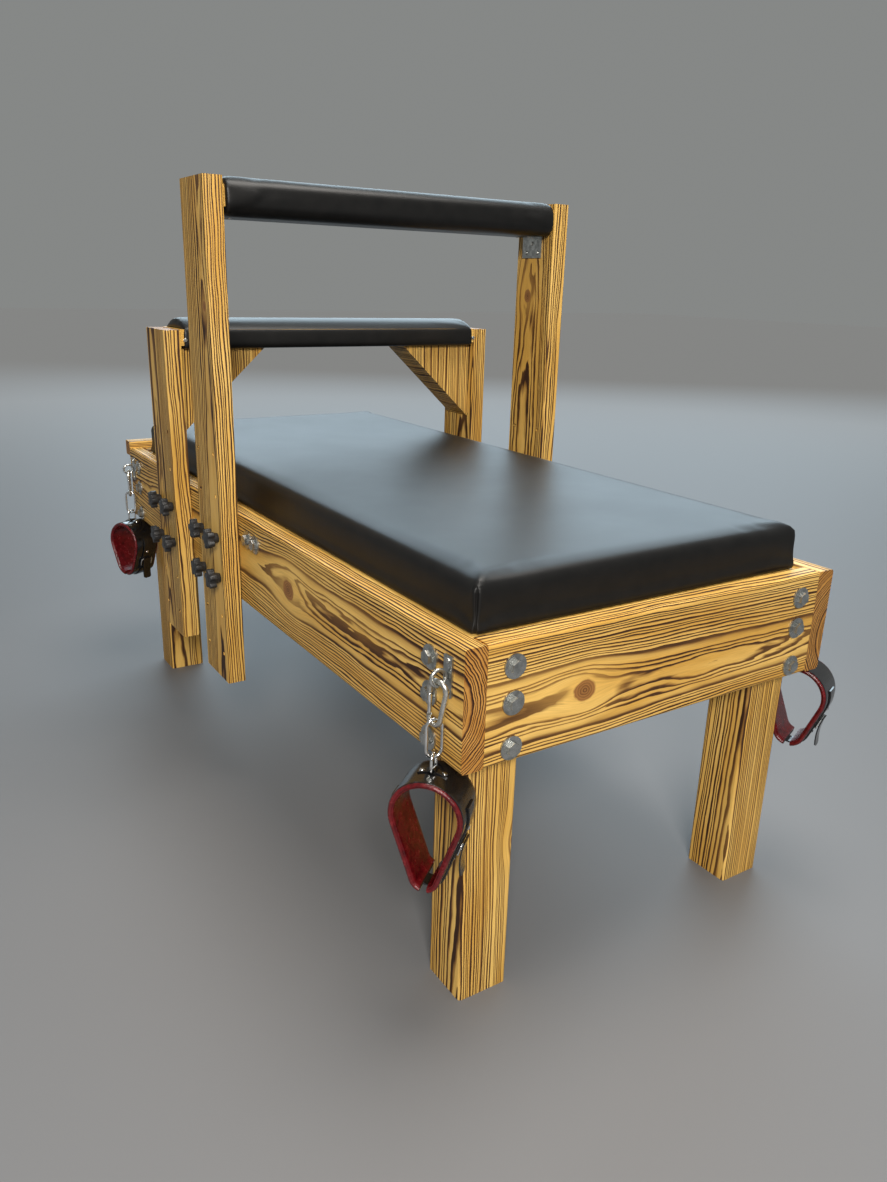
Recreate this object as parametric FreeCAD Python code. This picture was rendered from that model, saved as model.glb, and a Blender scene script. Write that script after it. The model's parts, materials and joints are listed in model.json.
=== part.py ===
"""Padded timber bench with two height-adjustable padded cross bars and four padded cuffs.

Millimetres. X runs across the bench, +Y towards its rear end, +Z up. The origin is on the
floor, under the middle of the timber frame.
"""
import FreeCAD, Part
import math
import os

V = FreeCAD.Vector
UP = V(0, 0, 1)

# ---- timber frame -------------------------------------------------------------------
bench_width = 772.0       # over the two side rails
bench_length = 1665.0     # over the two end rails
rail_top = 619.0          # floor to the top edge of the rails
rail_height = 187.0       # depth of the rail boards
board = 38.0              # thickness of every board
leg_side = 90.0           # square legs, also the stock of the gusset blocks
ease = 6.0                # rounding of the boards' long edges
batten_height = 38.0      # stop across the rear end
batten_proud = 18.0       # how far the stop stands above the rails

# ---- mattress and its support -------------------------------------------------------
mattress_proud = 76.0     # mattress above the rails
plywood = 18.0            # mattress base board
support_drop = 24.0       # top of legs and cross beam, below the rails' top edge
beam_width = 89.0
beam_y = -73.0            # middle of the cross beam
mattress_gap = 2.0        # mattress to rails, all round
mattress_round = 18.0     # rounding of the mattress's upper edges
mattress_corner = 9.0     # rounding of its upright edges

# ---- adjustable frames --------------------------------------------------------------
upright_width = 134.0
hole_pitch = 85.5         # between rows of adjusting holes, and between the two knob rows
hole_columns = 91.0       # between the two columns of holes
rows_below = 2            # hole rows below the lower knob row
rows_above = 2            # hole rows above the upper knob row
foot_margin = 61.0        # lowest hole row to the foot of an upright
slide_gap = 0.3           # running clearance of uprights and knobs
tall_y = 63.0             # middle of the tall frame
tall_top = 1248.0
low_y = 370.0             # middle of the low frame
low_top = 961.0
tall_pad_height = 66.0
tall_pad_proud = 6.0      # pad in front of and behind the uprights
low_pad_bottom = 920.0
low_pad_crown = 984.0     # top of the low pad, above the tops of its uprights
low_pad_proud = 6.0
foam_edge = 8.0           # foam and cover under, in front of and behind the low core
low_core_thick = 34.0
low_pad_rise = 20.0       # crown of the low pad above its front edge
tall_pad_round = 20.0
low_pad_round = 9.0
pad_end_gap = 0.6         # pad to the uprights
gusset_reach = 200.0      # along the bar
gusset_drop = 185.0       # down the upright

# ---- fasteners ----------------------------------------------------------------------
bolt_r = 6.0
bolt_length = 70.0
hex_flats = 19.0
hex_height = 8.0
washer_r = 18.5
washer_thick = 3.0
bolt_rows = (39.0, 94.0, 164.0)   # below the rails' top edge
beam_bolt_pitch = 42.0
hole_clear = 0.15         # radius of a fixed hole over its fastener
stud_r = 4.0
stud_hole_r = 4.5
insert_r = 6.0
insert_length = 25.0
knob_r = 21.0
knob_lobes = 5
lobe_r = 6.5
knob_thick = 15.0
hub_r = 12.0
hub_length = 11.0
screw_r = 2.2
screw_head_r = 4.4
screw_head = 2.0
screw_length = 30.0
core_screw = 80.0         # through the low core into a gusset
batten_screw = 60.0
bracket_width = 70.0
bracket_leg = 48.0
bracket_thick = 2.5
bracket_shift = 10.0      # behind the middle of the upright

# ---- chains and cuffs ---------------------------------------------------------------
plate_inset = 36.0        # plate's centre line to the rail's end
plate_drop = 50.0         # plate's centre below the rails' top edge
plate_width = 21.0
plate_height = 62.0
plate_thick = 3.0
plate_screws = 46.0       # between its two screws
eye_r = 9.0               # hole of the eye
eye_wire = 2.8            # radius of its wire
eye_sunk = 0.3            # wire welded into the plate
hook_wire = 4.0
hook_length = 74.0
hook_turn = 20.0          # plane of a hook, from along the rail towards outwards
hook_wide = 14.0          # centre-line radius of the upper end
hook_narrow = 9.5         # and of the lower end
nose_length = 5.0         # of the hook's wire, down towards its gate
stub_length = 4.0         # and up from its lower end to the gate's pivot
gate_r = 3.0
gate_gap = 0.4
link_wire = 2.5
link_length = 63.0
link_half = 12.0          # centre-line radius of its ends
dee_wire = 2.2
dee_half = 10.5
dee_height = 32.0
seat_gap = 0.3            # hook on the eye
link_gap = 2.0            # a turned ring needs more room
dee_gap = 2.0
cuff_r = 56.0             # outer radius of the cuffs' upper part
cuff_width = 66.0
leather = 3.0
lining = 7.0
lining_proud = 3.0        # lining beyond the leather, each side
cuff_mouth = 12.0         # gap between the two ends
strap_width = 26.0
strap_thick = 3.0
strap_from = 40.0         # strap's upper end, below the top of the cuff
tab_width = 12.0          # leather tab that holds the D ring
tab_length = 44.0
tab_thick = 2.0
rivet_r = 4.0
rivet_thick = 1.5
rivet_out = 15.0          # from the D ring
buckle_down = 34.0        # buckle's centre, along the straight of the strap
buckle_wide = 36.0
buckle_tall = 22.0
buckle_bar = 3.5
tail_length = 58.0        # loose end of the strap
tail_lift = 12.0          # degrees it stands off
# side, end, headings of the cuff's axis and of the link's, in degrees from -Y towards -X,
# height of the cuff and outer radius of its lower part
corners = {
    "front_left": (-1, -1, 50.0, 10.0, 178.0, 24.0),
    "front_right": (1, -1, 68.0, 30.0, 160.0, 30.0),
    "rear_left": (-1, 1, 66.0, 30.0, 150.0, 36.0),
    "rear_right": (1, 1, 50.0, 10.0, 168.0, 27.0),
}

# ---- worked-out places --------------------------------------------------------------
half_w = bench_width / 2
half_l = bench_length / 2
rail_bottom = rail_top - rail_height
inner_w = half_w - board
inner_l = half_l - board
support_top = rail_top - support_drop
leg_x = inner_w - leg_side / 2
leg_y = inner_l - leg_side / 2
rail_middle = rail_top - rail_height / 2
knob_rows = (rail_middle - hole_pitch / 2, rail_middle + hole_pitch / 2)
hole_rows = [knob_rows[0] + i * hole_pitch for i in range(-rows_below, 2 + rows_above)]
upright_foot = hole_rows[0] - foot_margin
frame_half = half_w + slide_gap           # inner face of an upright
knob_face = frame_half + board            # outer face of an upright
beam_z = support_top - board / 2
eye_x = half_w + plate_thick + eye_r + 2 * eye_wire - eye_sunk
eye_z = rail_top - plate_drop
SIDES = {"left": -1, "right": 1}
ENDS = {"front": -1, "rear": 1}

os.makedirs("parts", exist_ok=True)


# ---- helpers ------------------------------------------------------------------------
def save(name, solids):
    """Write one node, from a solid or from a list of separate solids."""
    shape = Part.makeCompound(solids) if isinstance(solids, list) else solids
    shape.exportStep("parts/" + name + ".step")
    return shape


def block(x0, x1, y0, y1, z0, z1):
    """Box between two corners given in any order."""
    lo = V(min(x0, x1), min(y0, y1), min(z0, z1))
    return Part.makeBox(abs(x1 - x0), abs(y1 - y0), abs(z1 - z0), lo)


def eased(shape, radius, along=None):
    """Round a board's edges: all of them, or only those along one direction."""
    edges = []
    for edge in shape.Edges:
        ends = edge.Vertexes
        run = (ends[1].Point - ends[0].Point).normalize()
        if along is None or abs(run.dot(along)) > 0.999:
            edges.append(edge)
    return shape.makeFillet(radius, edges)


def rod(radius, start, end):
    """Round bar from one point to another."""
    return Part.makeCylinder(radius, (end - start).Length, start, end - start)


def drilled(shape, radius, centres, direction, depth):
    """Drill straight holes, each centre being the middle of its hole's length."""
    for centre in centres:
        shape = shape.cut(rod(radius, centre - direction * (depth / 2),
                              centre + direction * (depth / 2)))
    return shape


def hex_head(face, out):
    """Hexagon of a bolt head, standing on a point of a face."""
    flat = V(0, 0, 1)
    side = out.cross(flat)
    reach = hex_flats / math.sqrt(3)
    points = []
    for i in range(7):
        turn = math.radians(60 * i)
        points.append(face + flat * (reach * math.cos(turn)) + side * (reach * math.sin(turn)))
    return Part.Face(Part.makePolygon(points)).extrude(out * hex_height)


def frame_bolt(face, out):
    """Hexagon wood bolt and its large washer, driven in through a face."""
    washer = rod(washer_r, face, face + out * washer_thick)
    washer = washer.cut(rod(bolt_r + hole_clear, face - out, face + out * (washer_thick + 1)))
    seat = face + out * washer_thick
    shank = rod(bolt_r, seat - out * (bolt_length + washer_thick), seat)
    return [washer, hex_head(seat, out).fuse(shank)]


def screw(seat, out, length=screw_length, head_r=screw_head_r):
    """Domed wood screw with its head on a seat."""
    head = rod(head_r, seat, seat + out * screw_head)
    rim = [e for e in head.Edges if abs((e.BoundBox.Center - seat).dot(out) - screw_head) < 0.01]
    head = head.makeFillet(screw_head * 0.6, [e for e in rim if len(e.Vertexes) == 1])
    return head.fuse(rod(screw_r, seat - out * length, seat))


def piloted(shape, screws):
    """Clear the way of each screw, given as its seat, outward direction and length."""
    for seat, out, length in screws:
        shape = shape.cut(rod(screw_r + hole_clear, seat - out * (length + 0.5), seat + out * 5))
    return shape


def arc(centre, radius, start, end, u, v):
    """Circular edge in the plane of u and v, between two angles in degrees."""
    def at(angle):
        turn = math.radians(angle)
        return centre + u * (radius * math.cos(turn)) + v * (radius * math.sin(turn))
    return Part.Arc(at(start), at((start + end) / 2), at(end)).toShape()


def belt(top, top_r, low, low_r, u, v):
    """Closed outline round two circles, one above the other, as edges."""
    span = low - top
    run = V(span.dot(u), span.dot(v), 0)
    lean = math.degrees(math.atan2(run.y, run.x))
    open_angle = math.degrees(math.acos((top_r - low_r) / run.Length))
    first = lean + open_angle
    last = lean - open_angle + 360
    upper = arc(top, top_r, first, last, u, v)
    lower = arc(low, low_r, last - 360, first, u, v)
    side_1 = Part.makeLine(upper.Vertexes[-1].Point, lower.Vertexes[0].Point)
    side_2 = Part.makeLine(lower.Vertexes[-1].Point, upper.Vertexes[0].Point)
    return [upper, side_1, lower, side_2]


def swept(edges, radius, start, direction):
    """Round wire of a given radius along joined edges."""
    path = Part.Wire(edges)
    profile = Part.Wire([Part.Circle(start, direction, radius).toShape()])
    return path.makePipeShell([profile], True, False)


def belt_band(top, top_r, low, low_r, thick, half, u, v, axis):
    """Band of constant thickness round a belt outline, its width along axis."""
    outer = Part.Face(Part.Wire(belt(top, top_r, low, low_r, u, v)))
    inner = Part.Face(Part.Wire(belt(top, top_r - thick, low, low_r - thick, u, v)))
    ring = outer.cut(inner)
    ring.translate(axis * -half)
    return ring.extrude(axis * (2 * half))


# ---- rails, legs and rear stop ------------------------------------------------------
def side_rail(side):
    """Side rail with its bolt holes and the pockets of the threaded inserts."""
    rail = block(side * inner_w, side * half_w, -half_l, half_l, rail_bottom, rail_top)
    rail = eased(rail, ease, V(0, 1, 0))
    middle = side * (half_w + inner_w) / 2
    leg_holes = [V(middle, end * leg_y, rail_top - drop) for end in (-1, 1) for drop in bolt_rows]
    beam_holes = [V(middle, beam_y + k * beam_bolt_pitch / 2, beam_z) for k in (-1, 1)]
    rail = drilled(rail, bolt_r + hole_clear, leg_holes + beam_holes, V(1, 0, 0), board + 2)
    for centre in insert_places(side):
        rail = rail.cut(rod(insert_r, centre, centre - V(side * insert_length, 0, 0)))
    return piloted(rail, plate_fixings(side, -1) + plate_fixings(side, 1))


def plate_fixings(side, end):
    """The two screws of an eye plate: seat, outward direction and length."""
    y = end * (half_l - plate_inset)
    return [(V(side * (half_w + plate_thick), y, eye_z + k * plate_screws / 2),
             V(side, 0, 0), screw_length) for k in (-1, 1)]


def insert_places(side):
    """Mouths of the threaded inserts in the outer face of a side rail."""
    return [V(side * half_w, y + k * hole_columns / 2, z)
            for y in (tall_y, low_y) for k in (-1, 1) for z in knob_rows]


def rail_insert(mouth, side):
    """Threaded bush, open at the outer face."""
    inward = V(-side, 0, 0)
    bush = rod(insert_r, mouth, mouth + inward * insert_length)
    return bush.cut(rod(stud_r, mouth - inward, mouth + inward * (insert_length - 3)))


for name, side in SIDES.items():
    save("side_rail_" + name, side_rail(side))

batten_top = rail_top + batten_proud
batten_screws = [(V(x, half_l + board, batten_top - batten_height / 2 - 5), V(0, 1, 0),
                  batten_screw) for x in (-inner_w * 0.85, -inner_w * 0.3,
                                          inner_w * 0.3, inner_w * 0.85)]
for name, end in ENDS.items():
    rail = block(-inner_w, inner_w, end * inner_l, end * half_l, rail_bottom, rail_top)
    rail = eased(rail, ease, V(1, 0, 0))
    holes = [V(k * leg_x, end * (inner_l + board / 2), rail_top - drop)
             for k in (-1, 1) for drop in bolt_rows]
    rail = drilled(rail, bolt_r + hole_clear, holes, V(0, 1, 0), board + 2)
    save("end_rail_" + name, piloted(rail, batten_screws if end > 0 else []))

batten = block(-half_w, half_w, half_l, half_l + board, batten_top - batten_height, batten_top)
save("rear_batten", piloted(eased(batten, ease / 2, V(1, 0, 0)), batten_screws))

for end_name, end in ENDS.items():
    for side_name, side in SIDES.items():
        leg = block(side * inner_w, side * (inner_w - leg_side),
                    end * inner_l, end * (inner_l - leg_side), 0, support_top)
        leg = eased(leg, ease, V(0, 0, 1))
        for drop in bolt_rows:
            z = rail_top - drop
            deep = bolt_length - board
            for face, out in ((V(side * inner_w, end * leg_y, z), V(side, 0, 0)),
                              (V(side * leg_x, end * inner_l, z), V(0, end, 0))):
                leg = leg.cut(rod(bolt_r + hole_clear, face - out * (deep + 1), face + out))
        save("leg_" + end_name + "_" + side_name, leg)

# ---- cross beam, base board and mattress --------------------------------------------
beam = block(-inner_w, inner_w, beam_y - beam_width / 2, beam_y + beam_width / 2,
             support_top - board, support_top)
for side in SIDES.values():
    for k in (-1, 1):
        face = V(side * inner_w, beam_y + k * beam_bolt_pitch / 2, beam_z)
        inward = V(-side, 0, 0)
        beam = beam.cut(rod(bolt_r + hole_clear, face - inward,
                            face + inward * (bolt_length - board + 1)))
save("cross_beam", beam)

pad_w = inner_w - mattress_gap
pad_l = inner_l - mattress_gap
board_top = support_top + plywood
save("mattress_board", block(-pad_w, pad_w, -pad_l, pad_l, support_top, board_top))

mattress = block(-pad_w, pad_w, -pad_l, pad_l, board_top, rail_top + mattress_proud)
upright_edges = [e for e in mattress.Edges if e.BoundBox.ZLength > 1]
mattress = mattress.makeFillet(mattress_corner, upright_edges)
upper = [e for e in mattress.Edges if e.BoundBox.ZMin > board_top + 1]
save("mattress", mattress.makeFillet(mattress_round, upper))

# ---- bolts and inserts --------------------------------------------------------------
bolts = []
for drop in bolt_rows:
    z = rail_top - drop
    for k in (-1, 1):
        for end in (-1, 1):
            bolts += frame_bolt(V(k * half_w, end * leg_y, z), V(k, 0, 0))
            bolts += frame_bolt(V(k * leg_x, end * half_l, z), V(0, end, 0))
for side in SIDES.values():
    for k in (-1, 1):
        bolts += frame_bolt(V(side * half_w, beam_y + k * beam_bolt_pitch / 2, beam_z),
                            V(side, 0, 0))
save("frame_bolts", bolts)
save("rail_inserts", [rail_insert(m, s) for s in SIDES.values() for m in insert_places(s)])


# ---- adjustable frames --------------------------------------------------------------
def upright(side, y, top, pilots=()):
    """Upright board with its two columns of adjusting holes, and pilot holes for screws."""
    post = block(side * frame_half, side * knob_face, y - upright_width / 2,
                 y + upright_width / 2, upright_foot, top)
    post = eased(post, ease / 2, V(0, 0, 1))
    middle = side * (frame_half + board / 2)
    holes = [V(middle, y + k * hole_columns / 2, z) for k in (-1, 1) for z in hole_rows]
    post = drilled(post, stud_hole_r, holes, V(1, 0, 0), board + 2)
    return piloted(post, pilots)


def knob(side, y, z):
    """Lobed clamping knob, its hub on the upright and its stud through the board."""
    out = V(side, 0, 0)
    seat = V(side * (knob_face + slide_gap), y, z)
    grip = seat + out * hub_length
    body = rod(hub_r, seat, grip)
    body = body.fuse(rod(knob_r - lobe_r, grip, grip + out * knob_thick))
    for i in range(knob_lobes):
        turn = 2 * math.pi * i / knob_lobes
        reach = V(0, math.sin(turn), math.cos(turn)) * (knob_r - lobe_r)
        body = body.fuse(rod(lobe_r, grip + reach, grip + reach + out * knob_thick))
    tip = V(side * (half_w + slide_gap), y, z)
    return body.fuse(rod(stud_r, tip, seat)).removeSplitter()


for frame_name, y in (("tall", tall_y), ("low", low_y)):
    for side_name, side in SIDES.items():
        for k, column in ((-1, "front"), (1, "rear")):
            for z, row in zip(knob_rows, ("lower", "upper")):
                save("_".join(("knob", frame_name, side_name, column, row)),
                     knob(side, y + k * hole_columns / 2, z))

# Tall bar: a board laid flat between the uprights, padded all round, on angle brackets.
pad_half_x = frame_half - pad_end_gap
tall_pad_bottom = tall_top - tall_pad_height
foam = (tall_pad_height - board) / 2
pad_half_y = upright_width / 2 + tall_pad_proud
tall_core = block(-frame_half, frame_half, tall_y - pad_half_y + foam,
                  tall_y + pad_half_y - foam, tall_pad_bottom + foam, tall_top - foam)
tall_pad = block(-pad_half_x, pad_half_x, tall_y - pad_half_y, tall_y + pad_half_y,
                 tall_pad_bottom, tall_top)
tall_pad = eased(tall_pad, tall_pad_round, V(1, 0, 0)).cut(tall_core)

bracket_y = tall_y + bracket_shift
bracket_lo = bracket_y - bracket_width / 2
bracket_hi = bracket_y + bracket_width / 2
column_y = [bracket_y - bracket_width * 0.3, bracket_y + bracket_width * 0.3]
brackets = []
shelf_screws = []
wall_screws = {}
for side_name, side in SIDES.items():
    wall = side * frame_half
    inward = V(-side, 0, 0)
    flange = block(wall, wall - side * bracket_thick, bracket_lo, bracket_hi,
                   tall_pad_bottom - bracket_leg, tall_pad_bottom)
    shelf = block(wall, wall - side * bracket_leg, bracket_lo, bracket_hi,
                  tall_pad_bottom - bracket_thick, tall_pad_bottom)
    face = wall - side * bracket_thick
    seats = [V(face, y, tall_pad_bottom - bracket_leg * 0.76) for y in column_y]
    seats.append(V(face, bracket_y, tall_pad_bottom - bracket_leg * 0.34))
    wall_screws[side_name] = [(seat, inward, screw_length) for seat in seats]
    under = [V(wall - side * bracket_leg * 0.6, y, tall_pad_bottom - bracket_thick)
             for y in column_y]
    on_shelf = [(seat, V(0, 0, -1), screw_length) for seat in under]
    shelf_screws += on_shelf
    angle = flange.fuse(shelf).removeSplitter()
    brackets.append(piloted(angle, wall_screws[side_name] + on_shelf))

for side_name, side in SIDES.items():
    save("tall_upright_" + side_name, upright(side, tall_y, tall_top, wall_screws[side_name]))
save("tall_bar_core", piloted(tall_core, shelf_screws))
save("tall_bar_pad", piloted(tall_pad, shelf_screws))
save("tall_brackets", brackets)
save("tall_screws", [screw(*s) for s in shelf_screws + sum(wall_screws.values(), [])])

# Low bar: a board with a crowned pad, screwed down on two gusset blocks.
low_half_y = upright_width / 2 + low_pad_proud
low_core_top = low_pad_bottom + foam_edge + low_core_thick
low_core = block(-frame_half, frame_half, low_y - low_half_y + foam_edge,
                 low_y + low_half_y - foam_edge, low_pad_bottom + foam_edge, low_core_top)
shoulder = low_pad_crown - low_pad_rise
section = [V(-pad_half_x, low_y + low_half_y, shoulder),
           V(-pad_half_x, low_y + low_half_y, low_pad_bottom),
           V(-pad_half_x, low_y - low_half_y, low_pad_bottom),
           V(-pad_half_x, low_y - low_half_y, shoulder)]
crown = Part.Arc(section[3], V(-pad_half_x, low_y, low_pad_crown), section[0]).toShape()
low_pad = Part.Face(Part.Wire(Part.makePolygon(section).Edges + [crown]))
low_pad = low_pad.extrude(V(2 * pad_half_x, 0, 0))
low_pad = eased(low_pad, low_pad_round, V(1, 0, 0)).cut(low_core)

gussets = []
core_screws = []
end_screws = []
for side in SIDES.values():
    wall = side * frame_half
    tip = wall - side * gusset_reach
    front = low_y - leg_side / 2
    corner = [V(wall, front, low_pad_bottom), V(tip, front, low_pad_bottom),
              V(wall, front, low_pad_bottom - gusset_drop), V(wall, front, low_pad_bottom)]
    gussets.append(Part.Face(Part.makePolygon(corner)).extrude(V(0, leg_side, 0)))
    core_screws += [(V(wall - side * x, low_y, low_core_top - screw_head), V(0, 0, 1), core_screw)
                    for x in (gusset_reach * 0.2, gusset_reach * 0.45)]
    end_screws.append((V(wall - side * 7.0, low_y - low_half_y, low_pad_bottom + 20.0),
                       V(0, -1, 0), screw_length))
all_low = core_screws + end_screws
sunk = low_core
for seat, out, length in core_screws:
    sunk = sunk.cut(rod(screw_head_r + hole_clear, seat, seat + out * (screw_head + 1)))
for side_name, side in SIDES.items():
    save("low_upright_" + side_name, upright(side, low_y, low_top))
save("low_bar_core", piloted(sunk, all_low))
save("low_bar_pad", piloted(low_pad, all_low))
save("low_gussets", [piloted(g, core_screws) for g in gussets])
save("low_screws", [screw(*s) for s in all_low])


# ---- eye plates, hooks, links and cuffs ---------------------------------------------
def heading(angle):
    """Level direction, in degrees from -Y towards -X."""
    turn = math.radians(angle)
    return V(-math.sin(turn), -math.cos(turn), 0)


hook_top = eye_z - eye_r + seat_gap + hook_wire          # centre line of the wire
hook_low = hook_top - hook_length + 2 * hook_wire
link_top = hook_low + hook_wire + link_gap + link_wire
link_low = link_top - link_length + 2 * link_wire
dee_top = link_low + link_wire + dee_gap + dee_wire
dee_low = dee_top - dee_height + 2 * dee_wire
cuff_top = dee_low - dee_wire


def eye_plate(side, y):
    """Screw plate with a welded eye that stands out from the rail."""
    out = V(side, 0, 0)
    centre = V(side * half_w, y, eye_z)
    plate = block(centre.x, centre.x + side * plate_thick, y - plate_width / 2,
                  y + plate_width / 2, eye_z - plate_height / 2, eye_z + plate_height / 2)
    plate = eased(plate, 4.0, V(1, 0, 0))
    eye = Part.makeTorus(eye_r + eye_wire, eye_wire, V(side * eye_x, y, eye_z), V(0, 1, 0))
    beyond = block(centre.x, centre.x - side * 40, y - 20, y + 20, eye_z - 30, eye_z + 30)
    return plate.fuse(eye.cut(beyond)).removeSplitter()


def hook_way(side, gate_side):
    """Level direction from a hook's eye towards its gate."""
    turn = math.radians(hook_turn)
    return V(side * math.sin(turn), gate_side * math.cos(turn), 0)


def hook(side, y, gate_side):
    """Snap hook, open where its gate closes it."""
    u = hook_way(side, gate_side)
    bend = V(side * eye_x, y, hook_top - hook_wide)
    foot = V(side * eye_x, y, hook_low + hook_narrow) + u * (hook_wide - hook_narrow)
    over, back, under, front = belt(bend, hook_wide, foot, hook_narrow, u, UP)
    nose = bend + u * hook_wide
    stub = foot + u * hook_narrow
    first = Part.makeLine(nose - UP * nose_length, nose)
    last = Part.makeLine(stub, stub + UP * stub_length)
    return swept([first, over, back, under, last], hook_wire, nose - UP * nose_length, UP)


def gate_ends(side, y, gate_side):
    """Pivot and tip of a hook's gate, on the centre line of its wire."""
    line = V(side * eye_x, y, 0) + hook_way(side, gate_side) * hook_wide
    low = line + UP * (hook_low + hook_narrow + stub_length)
    high = line + UP * (hook_top - hook_wide - nose_length)
    rest = gate_r + gate_gap
    return low + UP * rest, high - UP * rest


def gate(side, y, gate_side):
    """Round spring gate with rounded ends."""
    low, high = gate_ends(side, y, gate_side)
    return rod(gate_r, low, high).fuse([Part.makeSphere(gate_r, low),
                                        Part.makeSphere(gate_r, high)]).removeSplitter()


def oval(top, low, half, wire, u):
    """Welded ring of two straight sides and two round ends, upright in the plane of u."""
    upper = top - UP * half
    lower = low + UP * half
    edges = [arc(upper, half, 0, 180, u, UP),
             Part.makeLine(upper - u * half, lower - u * half),
             arc(lower, half, 180, 360, u, UP),
             Part.makeLine(lower + u * half, upper + u * half)]
    return swept(edges, wire, upper + u * half, UP)


def dee(place, axis):
    """D ring, its straight side across the cuff."""
    turn = dee_wire * 1.6
    base = place + UP * dee_low
    upper = place + UP * (dee_top - dee_half)
    side_1 = axis * dee_half
    edges = [arc(upper, dee_half, 0, 180, axis, UP),
             Part.makeLine(upper - side_1, base - side_1 + UP * turn),
             arc(base - side_1 + (axis + UP) * turn, turn, 180, 270, axis, UP),
             Part.makeLine(base - side_1 + axis * turn, base + side_1 - axis * turn),
             arc(base + side_1 - axis * turn + UP * turn, turn, 270, 360, axis, UP),
             Part.makeLine(base + side_1 + UP * turn, upper + side_1)]
    return swept(edges, dee_wire, upper + side_1, UP)


def laid(length, width, thick, centre, along, across):
    """Flat bar with its length and width on two given directions."""
    normal = along.cross(across)
    turn = FreeCAD.Matrix(along.x, across.x, normal.x, centre.x,
                          along.y, across.y, normal.y, centre.y,
                          along.z, across.z, normal.z, centre.z, 0, 0, 0, 1)
    bar = Part.makeBox(length, width, thick, V(-length / 2, -width / 2, -thick / 2))
    return bar.transformGeometry(turn)


def ring_tab(place, axis, u, top):
    """Tab over the straight side of the D ring, with a rivet on each side of it."""
    strip = belt_band(top, cuff_r + tab_thick, top - UP, cuff_r + tab_thick, tab_thick,
                      tab_width / 2, u, UP, axis)
    crown = place + UP * cuff_top
    strip = strip.common(laid(tab_length, tab_width * 2, cuff_r, crown, u, axis))
    start = place + UP * dee_low - axis * (tab_width / 2)
    end = start + axis * tab_width
    strip = strip.fuse(rod(dee_wire + tab_thick, start, end))
    inside = Part.makeCylinder(cuff_r, 3 * tab_width, top - axis * 1.5 * tab_width, axis)
    strip = strip.cut(inside)
    tunnel = rod(dee_wire + hole_clear, start - axis, end + axis)
    under = laid(2 * (dee_wire + hole_clear), tab_width * 2, 2 * dee_wire,
                 place + UP * (dee_low - dee_wire), u, axis)
    solids = [strip.cut(tunnel).cut(under)]
    for side in (-1, 1):
        lean = math.asin(rivet_out / cuff_r)
        out = u * (side * math.sin(lean)) + UP * math.cos(lean)
        seat = top + out * (cuff_r + tab_thick - 0.5)
        pin = rod(rivet_r, seat, seat + out * (rivet_thick + 0.5))
        solids[0] = solids[0].cut(pin)
        solids.append(pin)
    return solids


def buckle(axis, u, top, low, cuff_tip_r):
    """Buckle frame on the strap and the strap's loose end, on the side away from u."""
    spread = math.asin((cuff_r - cuff_tip_r) / (top.z - low.z))
    out = u * (-math.cos(spread)) - UP * math.sin(spread)
    down = u * math.sin(spread) - UP * math.cos(spread)
    face = top + out * (cuff_r + strap_thick) + down * buckle_down
    across = axis
    mid = face + out * (buckle_bar / 2)
    frame = laid(buckle_tall, buckle_wide, buckle_bar, mid, down, across)
    hole = laid(buckle_tall - 2 * buckle_bar, buckle_wide - 2 * buckle_bar, 4 * buckle_bar,
                mid, down, across)
    lift = math.radians(tail_lift)
    hang = down * math.cos(lift) + out * math.sin(lift)
    root = face + out * (buckle_bar + strap_thick * 0.6) - down * (buckle_tall / 2)
    tail = laid(tail_length, strap_width, strap_thick, root + hang * (tail_length / 2),
                hang, across)
    frame = frame.cut(hole)
    return [frame, tail.cut(frame)]


def cuff(place, angle, cuff_height, cuff_tip_r):
    """Leather band with a padded lining, open at its foot, a D ring, its tab and the strap."""
    axis = heading(angle)
    u = axis.cross(UP)
    top = place + UP * (cuff_top - cuff_r)
    low = place + UP * (cuff_top - cuff_height + cuff_tip_r)
    mouth = V(cuff_mouth / 2, 0, 0)
    solids = []
    for inset, thick, half in ((0, leather, cuff_width / 2),
                               (leather, lining, cuff_width / 2 + lining_proud)):
        band = belt_band(top, cuff_r - inset, low, cuff_tip_r - inset, thick, half, u, UP, axis)
        slot = Part.makeBox(cuff_mouth, 4 * half, cuff_r, V(-cuff_mouth / 2, -2 * half, 0))
        slot.rotate(V(0, 0, 0), UP, math.degrees(math.atan2(u.y, u.x)))
        slot.translate(place + UP * (cuff_top - cuff_height - 1) - UP * (cuff_r - 2 * cuff_tip_r))
        solids.append(band.cut(slot))
    strap = belt_band(top, cuff_r + strap_thick, low, cuff_tip_r + strap_thick, strap_thick,
                      strap_width / 2, u, UP, axis)
    keep = Part.makeBox(3 * cuff_r, 4 * cuff_width, cuff_height,
                        V(-1.5 * cuff_r, -2 * cuff_width, -cuff_height))
    keep.rotate(V(0, 0, 0), UP, math.degrees(math.atan2(u.y, u.x)))
    keep.translate(place + UP * (cuff_top - strap_from))
    solids.append(strap.common(keep))
    solids.append(dee(place, axis))
    return solids + ring_tab(place, axis, u, top) + buckle(axis, u, top, low, cuff_tip_r)


plates = []
small_screws = list(batten_screws)
for name, (side, end, cuff_angle, link_angle, height, tip_r) in corners.items():
    y = end * (half_l - plate_inset)
    fixings = plate_fixings(side, end)
    small_screws += fixings
    plates.append(piloted(eye_plate(side, y), fixings))
    save("hook_" + name, hook(side, y, -end))
    save("gate_" + name, gate(side, y, -end))
    place = V(side * eye_x, y, 0) + hook_way(side, -end) * (hook_wide - hook_narrow)
    link_u = heading(link_angle).cross(UP)
    save("link_" + name, oval(place + UP * link_top, place + UP * link_low,
                              link_half, link_wire, link_u))
    save("cuff_" + name, cuff(place, cuff_angle, height, tip_r))
save("eye_plates", plates)
save("wood_screws", [screw(*s) for s in small_screws])
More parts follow.
